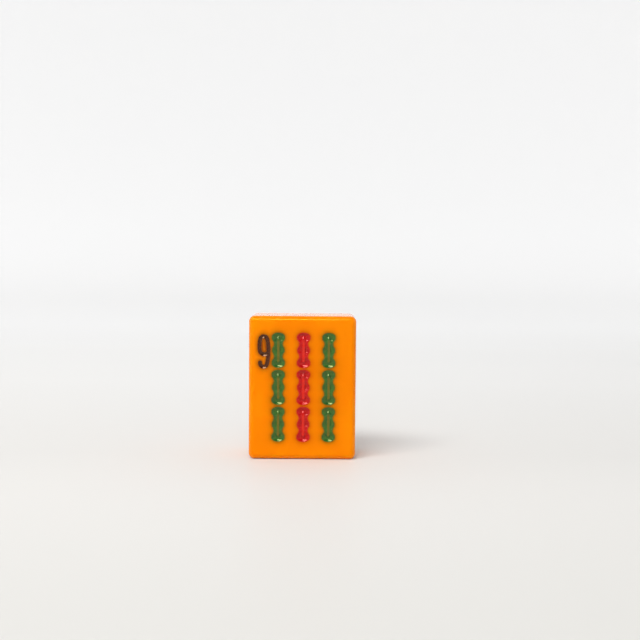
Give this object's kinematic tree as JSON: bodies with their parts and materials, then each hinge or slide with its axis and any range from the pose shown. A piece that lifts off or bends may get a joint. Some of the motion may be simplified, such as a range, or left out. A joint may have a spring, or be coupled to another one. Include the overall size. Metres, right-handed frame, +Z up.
{
  "type": "mahjong tile",
  "caption": "Solid cast mahjong tile that stands on its short end, with bamboo sticks and a numeral engraved in one face and filled with coloured enamel.",
  "frame": {"origin": "middle of the base, on the surface that the tile stands on", "axes": "+Z up along the tile's height, +Y from the engraved face to the plain back, +X to the right of someone who looks at the engraved face"},
  "size_m": [0.0226, 0.0126, 0.0302],
  "materials": {
    "orange_resin": "polished cast resin",
    "green_enamel": "glossy enamel",
    "red_enamel": "glossy enamel",
    "dark_enamel": "glossy enamel"
  },
  "bodies": {
    "root": {"tile_body": "orange_resin", "green_stick_top_left": "green_enamel", "green_stick_middle_left": "green_enamel", "green_stick_bottom_left": "green_enamel", "red_stick_top": "red_enamel", "red_stick_middle": "red_enamel", "red_stick_bottom": "red_enamel", "green_stick_top_right": "green_enamel", "green_stick_middle_right": "green_enamel", "green_stick_bottom_right": "green_enamel", "numeral_nine": "dark_enamel"}
  },
  "joints": []
}
